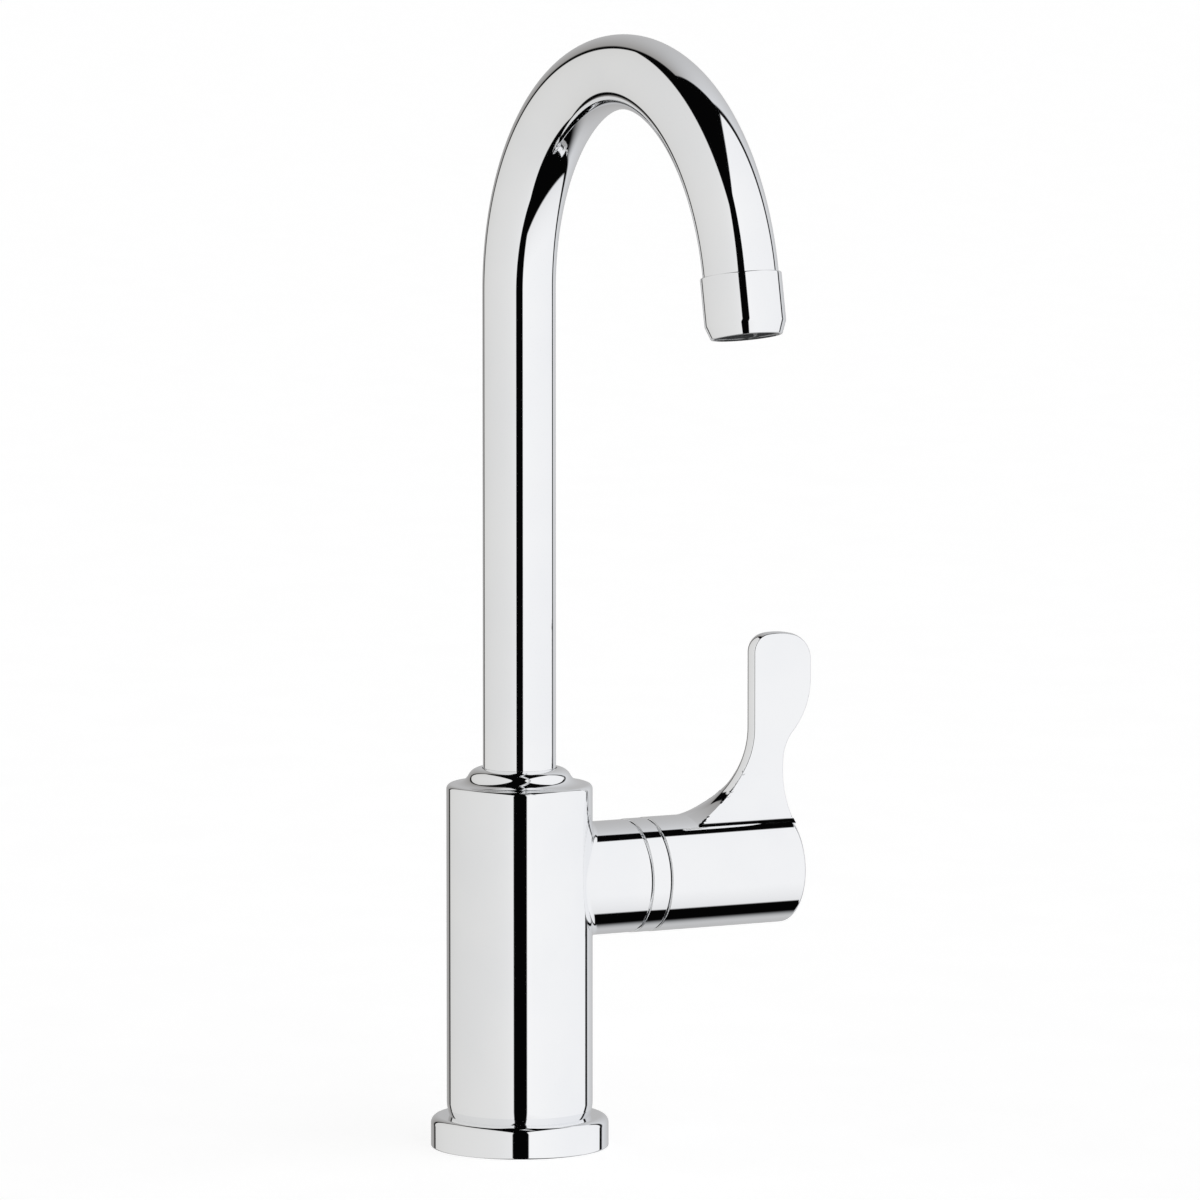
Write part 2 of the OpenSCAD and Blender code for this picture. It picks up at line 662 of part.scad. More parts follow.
module handle() color("silver") difference() {
    union() {
        on_valve(0) turned(concat([[0, hub_x], [hub_r - edge_break, hub_x], [hub_r, hub_x + edge_break]],
            arc([hub_r - hub_edge_r, hub_end - hub_edge_r], hub_edge_r, 0, 90, 5), [[0, hub_end]]));
        translate([0, 0, valve_h]) intersection() {
            rotate([90, 0, 0]) linear_extrude(hub_d, center = true) polygon(lever_outline());
            rotate([90, 0, 90]) linear_extrude(lever_out_x + 1) polygon(blade_section());
        }
    }
    on_valve(hub_x - 1) cylinder(r = hub_cavity_r, h = adapter_end - hub_x + 1 + fit_gap);
    on_valve(hub_x) cylinder(r = core_r, h = core_end - hub_x);
    on_grub(0) cylinder(r = grub_r, h = hub_r + 1);
}

module spline_adapter() color("goldenrod") difference() {
    on_valve(adapter_x) cylinder(r = hub_cavity_r - fit_gap, h = adapter_l);
    on_valve(adapter_x - 1) linear_extrude(stem_end - adapter_x + 2) polygon(splines(spline_r + fit_gap));
    on_grub(0) cylinder(r = grub_r, h = hub_r + 1);
}

module handle_set_screw() color("gray") difference() {
    tip = spline_r - grub_groove_depth + fit_gap;
    end = hub_r - grub_sink;
    on_grub(tip) cylinder(r = grub_r - fit_gap, h = end - tip);
    on_grub(end - grub_socket_depth) cylinder(r = grub_socket_r, h = grub_socket_depth + 1, $fn = 6);
}

// Puts children on the handle screw's axis, at a distance below the valve's axis.
module on_grub(down) translate([grub_x, 0, valve_h]) rotate([180, 0, 0]) translate([0, 0, down]) children();

// Stem: driving bar, flange, guide with two grooves, stop lug and spline.
module valve_stem() color("goldenrod") on_valve(0) difference() {
    union() {
        translate([-disc_d / 2 + driver_inset, -driver_w / 2, driver_x - disc_t / 2 + fit_gap])
            cube([disc_d - 2 * driver_inset, driver_w, driver_t]);
        cylinder_from(driver_x + 1, driver_stem_r, thread_x - driver_x - 1);
        cylinder_from(thread_x - glide_t - stem_flange_t, stem_flange_r, stem_flange_t - fit_gap);
        cylinder_from(thread_x - glide_t - 0.5, stem_r, nose_x + nose_l - thread_x + glide_t + 1.5);
        translate([0, 0, nose_x + nose_l - stop_t]) linear_extrude(stop_t)
            wedge(nose_r - lug_inset, closed_at - stop_half, closed_at + stop_half);
        translate([0, 0, spline_x - 0.5])
            linear_extrude(stem_end - spline_x + 0.5) polygon(splines(spline_r));
    }
    for (at = stem_ring_at) translate([0, 0, thread_x + at]) o_ring_groove(stem_r + fit_gap);
    translate([0, 0, grub_x - grub_groove_w / 2])
        ring(spline_r + 1, spline_r - grub_groove_depth, grub_groove_w);
}

module moving_disc() color("whitesmoke") on_valve(moving_x) difference() {
    cylinder(d = disc_d - 2 * disc_play, h = disc_t);
    translate([0, 0, -1]) rotate(90) disc_ports(disc_t + 2);
    translate([-disc_d / 2, -driver_w / 2 - fit_gap, disc_t / 2])
        cube([disc_d, driver_w + 2 * fit_gap, disc_t]);
}

module stem_o_rings() color("black")
    for (at = stem_ring_at) on_valve(thread_x + at) o_ring(stem_r + fit_gap);

deck_flange();
deck_gasket();
valve_body();
base_insert();
spout_thrust_washer();
upper_spout_bush();
spout_retaining_screw();
cartridge_shell();
seat_seal();
fixed_disc();
glide_ring();
cartridge_o_ring();
trim_ring();
spout_tube();
spout_ferrule();
spout_o_rings();
outlet_collar();
aerator_washer();
aerator_shell();
aerator_jet_plate();
aerator_honeycomb();
handle();
spline_adapter();
handle_set_screw();
valve_stem();
moving_disc();
stem_o_rings();
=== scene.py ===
"""Polished gooseneck bar faucet with one side lever: its visual model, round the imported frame.

Sizes are in millimetres inside the classes, and every finished mesh is scaled to metres. The
origin is on the column's axis at the deck, +Z is up, the spout hangs toward -Y and the valve lies
along +X.
"""
import logging
import math
from dataclasses import dataclass, field
from enum import Enum
from typing import Callable, Iterable, Sequence

import bmesh
import bpy
from bmesh.types import BMEdge, BMesh, BMVert
from bpy.types import NodeSocket, Object
from mathutils import Matrix, Vector


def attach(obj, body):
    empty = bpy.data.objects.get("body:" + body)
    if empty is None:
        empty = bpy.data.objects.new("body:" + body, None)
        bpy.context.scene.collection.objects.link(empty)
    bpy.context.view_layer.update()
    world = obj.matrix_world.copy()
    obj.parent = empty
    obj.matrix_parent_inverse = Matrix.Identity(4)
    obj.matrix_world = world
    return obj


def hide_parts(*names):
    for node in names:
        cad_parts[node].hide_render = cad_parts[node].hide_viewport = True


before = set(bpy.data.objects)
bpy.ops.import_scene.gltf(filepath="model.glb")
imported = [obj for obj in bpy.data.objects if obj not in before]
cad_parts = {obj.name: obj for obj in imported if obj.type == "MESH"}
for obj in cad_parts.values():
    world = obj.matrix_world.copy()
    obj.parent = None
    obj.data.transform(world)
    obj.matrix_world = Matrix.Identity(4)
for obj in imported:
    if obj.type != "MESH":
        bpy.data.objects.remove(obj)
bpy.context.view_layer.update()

METRES = 0.001
STEPS = 192  # steps round a lathed shell
MERGE = 1e-4  # vertices closer than this are one
NEAR = 1e-3  # how near to a place still counts as at it
LOG = logging.getLogger("faucet")

Point = tuple[float, float]
Colour = tuple[float, float, float]
Value = NodeSocket | float | Colour | tuple[float, float, float, float]


class Body(Enum):
    """Rigid bodies of the faucet."""

    BASE = "base"
    SPOUT = "spout"
    LEVER = "lever"


class Slot(Enum):
    """Material slots of the record."""

    CHROME = "chrome"
    BRASS = "brass"
    RUBBER = "rubber"
    WHITE_PLASTIC = "white_plastic"
    GREY_PLASTIC = "grey_plastic"
    CERAMIC = "ceramic"
    STEEL = "steel"


# ---------------------------------------------------------------- node graphs and finishes


class Graph:
    """Node tree of a material or the world, with short calls that add nodes and join them."""

    def __init__(self, tree: bpy.types.NodeTree) -> None:
        """Takes a node tree and empties it."""
        self.tree = tree
        tree.nodes.clear()

    def add(self, kind: str, settings: dict[str, object] | None = None,
            **inputs: Value) -> bpy.types.Node:
        """Adds one node.

        Args:
            kind: Blender's type name of the node.
            settings: Properties of the node itself.
            inputs: Socket values or sockets to join, by the socket's name in lower case.

        Returns:
            The new node.
        """
        node = self.tree.nodes.new(kind)
        for name, value in (settings or {}).items():
            setattr(node, name, value)
        for name, value in inputs.items():
            socket = next(s for s in node.inputs
                          if s.name.lower().replace(" ", "_") == name and s.enabled)
            self.put(socket, value)
        return node

    def put(self, socket: NodeSocket, value: Value) -> None:
        """Joins or sets one input.

        Args:
            socket: Input to fill.
            value: Output socket, number or colour.
        """
        if isinstance(value, NodeSocket):
            self.tree.links.new(value, socket)
        elif isinstance(value, tuple) and socket.type == "RGBA" and len(value) == 3:
            socket.default_value = (*value, 1.0)
        else:
            socket.default_value = value

    def math(self, operation: str, a: Value, b: Value = 0.0) -> NodeSocket:
        """Adds a maths node.

        Args:
            operation: Blender's name of the operation.
            a: First operand.
            b: Second operand.

        Returns:
            The node's output.
        """
        node = self.add("ShaderNodeMath", {"operation": operation})
        self.put(node.inputs[0], a)
        self.put(node.inputs[1], b)
        return node.outputs[0]

    def span(self, value: Value, low: float, high: float, to_low: float = 0.0, to_high: float = 1.0,
             smooth: bool = False) -> NodeSocket:
        """Maps a value from one range onto another and clamps it.

        Args:
            value: Value to map.
            low: Start of the range it comes from.
            high: End of that range.
            to_low: Result at the start.
            to_high: Result at the end.
            smooth: Whether the change eases in and out.

        Returns:
            The mapped value.
        """
        node = self.add("ShaderNodeMapRange",
                        {"interpolation_type": "SMOOTHSTEP" if smooth else "LINEAR", "clamp": True},
                        value=value, from_min=low, from_max=high, to_min=to_low, to_max=to_high)
        return node.outputs["Result"]

    def blend(self, factor: Value, a: Value, b: Value) -> NodeSocket:
        """Mixes two colours.

        Args:
            factor: Share of the second colour.
            a: First colour.
            b: Second colour.

        Returns:
            The mixed colour.
        """
        node = self.add("ShaderNodeMix", {"data_type": "RGBA"})
        for socket, value in ((0, factor), (6, a), (7, b)):  # the sockets of its colour mode
            self.put(node.inputs[socket], value)
        return node.outputs[2]

    def noise(self, where: Value, scale: float, detail: float = 3.0) -> NodeSocket:
        """Adds a noise pattern of scale patches per metre, with a mean of about 0.5."""
        return self.add("ShaderNodeTexNoise", vector=where, scale=scale, detail=detail,
                        roughness=0.5).outputs["Fac"]

    def bump(self, height: Value, distance: float) -> NodeSocket:
        """Adds a bump that is distance metres high, and gives the bumped normal."""
        return self.add("ShaderNodeBump", height=height, strength=1.0,
                        distance=distance).outputs["Normal"]

    def show(self, output: str, shader: bpy.types.Node) -> None:
        """Ends the tree in an output node, which shows the shader."""
        self.put(self.add(output).inputs["Surface"], shader.outputs[0])


@dataclass(frozen=True)
class Finish:
    """Surface finish with a procedural material.

    Attributes:
        name: Name of the material.
        colour: Main colour.
        second: Colour that the pattern mixes in.
        rough_low: Roughness where the pattern is low.
        rough_high: Roughness where it is high.
        metal: Whether the surface is bare metal.
        scale: Patches of the pattern per metre.
        relief: Height of the fine relief, in metres.
        grain: Fine grains per metre, which give the relief.
    """

    name: str
    colour: Colour
    second: Colour
    rough_low: float
    rough_high: float
    metal: bool = False
    scale: float = 60.0
    relief: float = 0.0
    grain: float = 2500.0

    def pattern(self, graph: Graph, where: NodeSocket) -> NodeSocket:
        """Gives the large pattern, from 0 to 1, that mixes the two colours."""
        return graph.span(graph.noise(where, self.scale), 0.35, 0.65, smooth=True)

    def height(self, graph: Graph, where: NodeSocket) -> NodeSocket:
        """Gives the pattern of the fine relief, from 0 to 1."""
        return graph.noise(where, self.grain, 2.0)

    def make(self) -> bpy.types.Material:
        """Makes the material once and gives it.

        Returns:
            The material.
        """
        found = bpy.data.materials.get(self.name)
        if found:
            return found
        material = bpy.data.materials.new(self.name)
        material.use_nodes = True
        graph = Graph(material.node_tree)
        where = graph.add("ShaderNodeTexCoord").outputs["Object"]
        pattern = self.pattern(graph, where)
        shader = graph.add("ShaderNodeBsdfPrincipled",
                           base_color=graph.blend(pattern, self.colour, self.second),
                           roughness=graph.span(pattern, 0, 1, self.rough_low, self.rough_high),
                           metallic=1.0 if self.metal else 0.0)
        if self.relief:
            graph.put(shader.inputs["Normal"], graph.bump(self.height(graph, where), self.relief))
        graph.show("ShaderNodeOutputMaterial", shader)
        return material

    def put_on(self, piece: Object) -> None:
        """Gives a whole piece this finish."""
        piece.data.materials.clear()
        piece.data.materials.append(self.make())


@dataclass(frozen=True)
class Turned(Finish):
    """Metal with the fine rings that a lathe leaves.

    Attributes:
        axis: Index of the axis that the piece was turned about.
        patch: Rings that each patch of their pattern spans.
    """

    axis: int = 2
    patch: float = 6.0

    def height(self, graph: Graph, where: NodeSocket) -> NodeSocket:
        """Gives rings that run round the axis.

        Args:
            graph: Graph of the material.
            where: Object coordinates.

        Returns:
            The relief's height, from 0 to 1.
        """
        parts = graph.add("ShaderNodeSeparateXYZ", vector=where).outputs
        along = graph.math("MULTIPLY", parts[self.axis], self.grain * 2 * math.pi)
        waves = graph.span(graph.math("SINE", along), -1, 1)
        return graph.math("MULTIPLY", waves, graph.noise(where, self.grain / self.patch, 1.0))


CHROME = Finish("polished_chrome", (0.925, 0.930, 0.938), (0.905, 0.912, 0.925), 0.018, 0.045,
                metal=True, scale=38.0, relief=2.0e-7, grain=900.0)
RAW_BRASS = Finish("cast_brass", (0.60, 0.43, 0.19), (0.46, 0.32, 0.15), 0.42, 0.62,
                   metal=True, scale=140.0, relief=6.0e-5, grain=1500.0)
BRASS = Turned("turned_brass", (0.72, 0.53, 0.25), (0.63, 0.45, 0.20), 0.20, 0.36,
               metal=True, scale=90.0, relief=8.0e-6, grain=2600.0)
STEEL = Turned("stainless_steel", (0.56, 0.56, 0.55), (0.46, 0.46, 0.46), 0.24, 0.40,
               metal=True, scale=260.0, relief=5.0e-6, grain=3200.0)
RUBBER = Finish("gasket_rubber", (0.020, 0.020, 0.021), (0.040, 0.039, 0.038), 0.55, 0.78,
                scale=420.0, relief=2.0e-5, grain=3500.0)
WHITE_PLASTIC = Finish("white_acetal", (0.80, 0.79, 0.76), (0.72, 0.71, 0.67), 0.32, 0.45,
                       scale=220.0, relief=4.0e-6)
GREY_PLASTIC = Finish("aerator_plastic", (0.17, 0.175, 0.18), (0.11, 0.115, 0.12), 0.34, 0.50,
                      scale=300.0, relief=6.0e-6)
CERAMIC = Finish("alumina_ceramic", (0.82, 0.80, 0.74), (0.74, 0.72, 0.66), 0.12, 0.22,
                 scale=500.0, relief=2.0e-6, grain=5000.0)

NODE_FINISHES: tuple[tuple[Finish, Slot, tuple[str, ...]], ...] = (
    (RUBBER, Slot.RUBBER, ("deck_gasket", "seat_seal", "cartridge_o_ring", "spout_o_rings",
                           "aerator_washer", "stem_o_rings")),
    (BRASS, Slot.BRASS, ("base_insert", "cartridge_shell", "spout_ferrule", "spline_adapter",
                         "valve_stem")),
    (WHITE_PLASTIC, Slot.WHITE_PLASTIC,
     ("spout_thrust_washer", "upper_spout_bush", "glide_ring")),
    (STEEL, Slot.STEEL, ("spout_retaining_screw", "handle_set_screw")),
    (CERAMIC, Slot.CERAMIC, ("fixed_disc", "moving_disc")),
    (GREY_PLASTIC, Slot.GREY_PLASTIC,
     ("aerator_shell", "aerator_jet_plate", "aerator_honeycomb")),
)


# ---------------------------------------------------------------- mesh helpers


class Outline:
    """Path of straight lines and arcs in the XZ plane.

    Attributes:
        bm: Mesh that holds the path.
        first: Vertex that the path starts from.
        at: Vertex that it has come to.
    """

    def __init__(self, start: Point) -> None:
        """Starts the path at a point, given as x and z."""
        self.bm = bmesh.new()
        self.first = self.at = self.bm.verts.new((start[0], 0, start[1]))

    def line(self, *points: Point | Vector) -> None:
        """Goes on by straight lines.

        Args:
            points: Their ends, as x and z.
        """
        for x, z in points:
            end = self.bm.verts.new((x, 0, z))
            self.bm.edges.new((self.at, end))
            self.at = end

    def arc(self, centre: Point | Vector, turn: float, steps: int) -> None:
        """Goes on by an arc of so many edges, which turns from +X toward +Z in degrees."""
        made = bmesh.ops.spin(self.bm, geom=[self.at], cent=(centre[0], 0, centre[1]),
                              axis=(0, -1, 0), angle=math.radians(turn), steps=steps)
        self.at = next(g for g in made["geom_last"] if isinstance(g, BMVert))

    def close(self) -> None:
        """Joins the path's end to its start."""
        self.bm.edges.new((self.at, self.first))

    def places(self) -> list[Vector]:
        """Gives the corners of an open path in their order.

        Returns:
            The corners, from the first to the last.
        """
        before, here, found = None, self.first, []
        while here is not None:
            found.append(here.co.copy())
            ahead = next((e.other_vert(here) for e in here.link_edges
                          if e.other_vert(here) is not before), None)
            before, here = here, ahead
        return found

    def spun(self) -> BMesh:
        """Spins the path about Z into a shell.

        Returns:
            The shell.
        """
        bm = self.bm
        bmesh.ops.spin(bm, geom=bm.verts[:] + bm.edges[:], cent=(0, 0, 0), axis=(0, 0, 1),
                       angle=2 * math.pi, steps=STEPS, use_merge=True)
        bmesh.ops.remove_doubles(bm, verts=bm.verts, dist=MERGE)
        bmesh.ops.recalc_face_normals(bm, faces=bm.faces)
        return bm

    def extruded(self, by: Vector, steps: int) -> BMesh:
        """Fills the closed path and extrudes it into a solid.

        Args:
            by: Way to extrude it.
            steps: Number of short strips that the way is made in.

        Returns:
            The solid.
        """
        bm = self.bm
        first = loop = bm.edges[:]
        for _ in range(steps):
            loop = grow(bm, loop, lambda v: v.co + by / steps)
        for end in (first, loop):
            bmesh.ops.contextual_create(bm, geom=end)
        bmesh.ops.recalc_face_normals(bm, faces=bm.faces)
        return bm


def lathe(profile: Sequence[Point], closed: bool = False) -> BMesh:
    """Spins a profile of straight lines about Z into a shell.

    Args:
        profile: Points of radius and height.
        closed: Whether the last point joins the first.

    Returns:
        The new shell.
    """
    path = Outline(profile[0])
    path.line(*profile[1:])
    if closed:
        path.close()
    return path.spun()


def grow(bm: BMesh, edges: Iterable[BMEdge],
         place: Callable[[BMVert], Vector]) -> list[BMEdge]:
    """Extrudes a ring of edges and puts each new vertex in its place.

    Args:
        bm: Mesh to grow.
        edges: Ring of edges.
        place: Gives the place of a new vertex.

    Returns:
        The new ring.
    """
    grown = bmesh.ops.extrude_edge_only(bm, edges=list(edges))["geom"]
    verts = {g for g in grown if isinstance(g, BMVert)}
    for v in verts:
        v.co = place(v)
    return [g for g in grown if isinstance(g, BMEdge) and set(g.verts) <= verts]


def round_rings(bm: BMesh, *rings: tuple[Point, float, int]) -> None:
    """Rounds corners of a lathed shell all the way round.

    Args:
        bm: Shell about Z.
        rings: Each corner's radius and height, then the round's radius and its number of strips.
    """
    for (r, z), radius, segments in rings:
        ring = {v for v in bm.verts if math.hypot(v.co.xy.length - r, v.co.z - z) < NEAR}
        edges = [e for e in bm.edges if ring.issuperset(e.verts)]
        bevel(bm, edges, radius * math.tan(edges[0].calc_face_angle() / 2), segments)


def bevel(bm: BMesh, edges: Sequence[BMEdge], offset: float, segments: int) -> None:
    """Bevels edges with a round profile, which takes the offset's width of each face."""
    bmesh.ops.bevel(bm, geom=list(edges), offset=offset, offset_type="OFFSET", segments=segments,
                    profile=0.5, affect="EDGES", clamp_overlap=False, material=-1)


def put_in_scene(bm: BMesh, name: str) -> Object:
    """Makes an object of a mesh, which is used up.

    Args:
        bm: Mesh to use up.
        name: Name of the object.

    Returns:
        The new object.
    """
    mesh = bpy.data.meshes.new(name)
    bm.to_mesh(mesh)
    bm.free()
    made = bpy.data.objects.new(name, mesh)
    bpy.context.scene.collection.objects.link(made)
    return made


def chromed(bm: BMesh, name: str, place: Matrix = Matrix.Identity(4),
            sharp: float = 50.0, weigh: bool = True) -> Object:
    """Makes the finished chrome piece of a mesh in millimetres.

    Args:
        bm: Mesh to use up.
        name: Name of the piece.
        place: Where it goes, in millimetres.
        sharp: Edges sharper than this many degrees stay sharp in the shading.
        weigh: Whether large faces lead the shading, so that flats stay flat beside their rounds.

    Returns:
        The new object, at the origin and in metres.
    """
    bm.transform(Matrix.Scale(METRES, 4) @ place)
    piece = put_in_scene(bm, name)
    piece.data.shade_smooth()
    piece.data.set_sharp_from_angle(angle=math.radians(sharp))
    if weigh:
        modifier = piece.modifiers.new("even_shading", "WEIGHTED_NORMAL")
        modifier.mode, modifier.weight, modifier.keep_sharp = "FACE_AREA", 50, True
    CHROME.put_on(piece)
    return piece


def cut(bm: BMesh, tool: BMesh, operation: str) -> BMesh:
    """Joins, subtracts or intersects two closed meshes.

    Args:
        bm: First mesh, used up.
        tool: Second mesh, used up.
        operation: UNION, DIFFERENCE or INTERSECT.

    Returns:
        The new mesh.
    """
    holder, other = put_in_scene(bm, "passing"), put_in_scene(tool, "passing")
    modifier = holder.modifiers.new("cut", "BOOLEAN")
    modifier.operation, modifier.solver, modifier.object = operation, "EXACT", other
    bpy.context.view_layer.update()
    shaped = holder.evaluated_get(bpy.context.evaluated_depsgraph_get())
    result = bmesh.new()
    result.from_mesh(shaped.to_mesh())
    shaped.to_mesh_clear()
    for used in (holder, other):
        bpy.data.meshes.remove(used.data)
    return result


def hand_over(piece: Object, body: Body, node: str) -> None:
    """Hangs a chrome piece on its body and lets it stand for a CAD node.

    Args:
        piece: Finished piece.
        body: Body that it moves with.
        node: Node that it replaces.
    """
    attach(piece, body.value)
    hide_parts(node)
    LOG.info("%s: %d faces, rides on %s", piece.name, len(piece.data.polygons), body.value)


def along_x(distance: float, height: float) -> Matrix:
    """Gives the matrix that lays a piece turned about Z along X, this far out and this high."""
    return Matrix.Translation((distance, 0, height)) @ Matrix.Rotation(math.pi / 2, 4, "Y")


# ---------------------------------------------------------------- sub-assemblies


@dataclass
class Base:
    """Flange, cast body with its valve neck, and trim ring.

    Attributes:
        body_r: Radius of the body.
        body_h: Height of the body's rim.
        swivel_r: Bore that the spout turns in.
        socket_h: Height of that bore's floor.
        rim_r: Outer radius of the flat rim.
        crown_r: Radius of the round that falls from the rim.
        cove_r: Radius of the cove that leads it out onto the ledge.
        crown_steps: Steps across each of these two.
        ledge_h: Height of the ledge beside the cove.
        shoulder_h: Height of the body's shoulder.
        shoulder_round: Round of the shoulder.
        foot_h: Height at which the body's wall turns in.
        foot_r: Radius of the body where it meets the flange.
        foot_round: Round between the wall and the foot.
        flange_r: Radius of the flange.
        flange_h: Height of the flange.
        flange_round: Round of the flange's upper edge.
        flange_gap: Gap between the flange and the spigot.
        groove_r: Inner and outer radius of the gasket's groove.
        groove_d: Depth of the groove.
        spigot_r: Radius of the spigot that locates the flange.
        spigot_h: Height of the spigot's lower end.
        insert_r: Bore that holds the base insert.
        insert_h: Height at which that bore ends.
        hollow_r: Radius of the hollow foot.
        hollow_h: Height from which the hollow is that wide.
        roof_h: Height of the hollow's roof.
        port_r: Radius of the port in the roof.
        port_h: Height at which the port ends.
        valve_h: Height of the valve's axis.
        neck_r: Radius of the neck.
        neck_end: Distance from the column's axis to the neck's end.
        neck_bore: Section of the cartridge's bore: distance from the column's axis and radius.
        blend_r: Radius of the blend at the neck's root.
        blend_strips: Strips across the blend.
        window_rows: Rows of the wall that the blend's window spans.
        window_steps: Steps round the wall that it spans.
        window_h: Height of the window.
        window_cuts: Cuts across the faces between the window's edge and the blend.
        ring_section: Section of the trim ring: radius and distance from the neck's end.
    """

    body_r: float = 20.65
    body_h: float = 107.9
    swivel_r: float = 10.5
    socket_h: float = 90.0
    rim_r: float = 11.0
    crown_r: float = 3.8
    cove_r: float = 4.6
    crown_steps: int = 16
    ledge_h: float = 103.4
    shoulder_h: float = 103.2
    shoulder_round: float = 1.4
    foot_h: float = 10.78
    foot_r: float = 19.93
    foot_round: float = 10.8
    flange_r: float = 25.15
    flange_h: float = 8.9
    flange_round: float = 2.2
    flange_gap: float = 0.1
    groove_r: tuple[float, float] = (20.4, 23.4)
    groove_d: float = 2.2
    spigot_r: float = 18.4
    spigot_h: float = 0.5
    insert_r: float = 16.45
    insert_h: float = 9.5
    hollow_r: float = 17.6
    hollow_h: float = 10.5
    roof_h: float = 56.0
    port_r: float = 4.46
    port_h: float = 67.0
    valve_h: float = 74.9
    neck_r: float = 16.07
    neck_end: float = 34.0
    neck_bore: tuple[Point, ...] = ((34.0, 10.45), (25.0, 10.45), (25.0, 12.2), (17.0, 12.2),
                                    (17.0, 9.3), (11.0, 9.3), (11.0, 0.01))
    blend_r: float = 2.0
    blend_strips: int = 8
    window_rows: int = 26
    window_steps: int = 70
    window_h: float = 43.0
    window_cuts: int = 9
    ring_section: tuple[Point, ...] = (
        (10.6, 0.0), (15.3, 0.0), (15.3, 0.5), (16.2, 0.5), (16.2, 6.0), (15.3, 6.0), (15.3, 6.2),
        (13.3, 6.2), (13.3, 1.5), (10.6, 1.5))

    def build(self) -> None:
        """Builds and dresses the pieces."""
        self.build_flange()
        self.build_body()
        self.build_trim_ring()

    def build_flange(self) -> None:
        """Turns the flange, with the gasket's groove under it."""
        r, h, bore = self.flange_r, self.flange_h, self.spigot_r + self.flange_gap
        inner, outer = self.groove_r
        bm = lathe([(bore, 0), (inner, 0), (inner, self.groove_d), (outer, self.groove_d),
                    (outer, 0), (r, 0), (r, h), (bore, h)], closed=True)
        round_rings(bm, ((r, h), self.flange_round, 10), ((r, 0), 0.5, 4), ((bore, h), 0.15, 2))
        hand_over(chromed(bm, "deck_flange_polished"), Body.BASE, "deck_flange")

    def ball(self, angle: float) -> Vector:
        """Gives where a ball that rolls round the neck's root has its centre.

        Args:
            angle: Place round the neck, in radians from the top.

        Returns:
            The centre, from the point where the two axes meet.
        """
        reach = self.neck_r + self.blend_r
        y = reach * math.sin(angle)
        return Vector((math.sqrt((self.body_r + self.blend_r) ** 2 - y * y), y,
                       reach * math.cos(angle)))

    def blend_point(self, angle: float, share: float) -> Vector:
        """Gives a point of the blend between body and neck.

        Args:
            angle: Place round the neck, in radians from the top.
            share: Way across the blend, 0 at the body and 1 at the neck.

        Returns:
            The point, from where the two axes meet.
        """
        centre = self.ball(angle)
        to_body = -Vector((centre.x, centre.y, 0)).normalized()
        to_neck = Vector((0, -math.sin(angle), -math.cos(angle)))
        return centre + self.blend_r * to_body.slerp(to_neck, share)

    def build_body(self) -> None:
        """Turns the body, opens its wall, and grows the blended neck out of it."""
        low = self.valve_h - self.window_h / 2
        rows = [(self.body_r, low + self.window_h * (1 - i / self.window_rows))
                for i in range(self.window_rows + 1)]
        shoulder, foot = (self.body_r, self.shoulder_h), (self.body_r, self.foot_h)
        fall, both = self.body_h - self.ledge_h, self.crown_r + self.cove_r
        slope = math.degrees(math.acos(1 - fall / both))
        cove = (self.rim_r + math.sqrt(fall * (2 * both - fall)), self.ledge_h + self.cove_r)
        path = Outline((0, self.socket_h))
        path.line((self.swivel_r, self.socket_h), (self.swivel_r, self.body_h),
                  (self.rim_r, self.body_h))
        path.arc((self.rim_r, self.body_h - self.crown_r), -slope, self.crown_steps)
        path.arc(cove, slope, self.crown_steps)
        path.line(shoulder, *rows, foot, (self.foot_r, self.flange_h),
                  (self.spigot_r, self.flange_h), (self.spigot_r, self.spigot_h),
                  (self.insert_r, self.spigot_h), (self.insert_r, self.insert_h),
                  (self.hollow_r, self.hollow_h), (self.hollow_r, self.roof_h),
                  (self.port_r, self.roof_h), (self.port_r, self.port_h), (0, self.port_h))
        bm = path.spun()
        round_rings(bm, (shoulder, self.shoulder_round, 8),
                    ((self.swivel_r, self.body_h), 0.15, 2), (foot, self.foot_round, 8),
                    ((self.spigot_r, self.spigot_h), 0.2, 2))
        self.grow_neck(bm, low)
        body = chromed(bm, "body_polished")
        body.data.materials.append(RAW_BRASS.make())  # for the bores, left as cast
        hollow, floor = (self.hollow_r + 0.05) * METRES, self.socket_h * METRES
        for face in body.data.polygons:
            x, y, z = face.center
            if math.hypot(x, y) < hollow and z < floor:
                face.material_index = 1
        hand_over(body, Body.BASE, "valve_body")

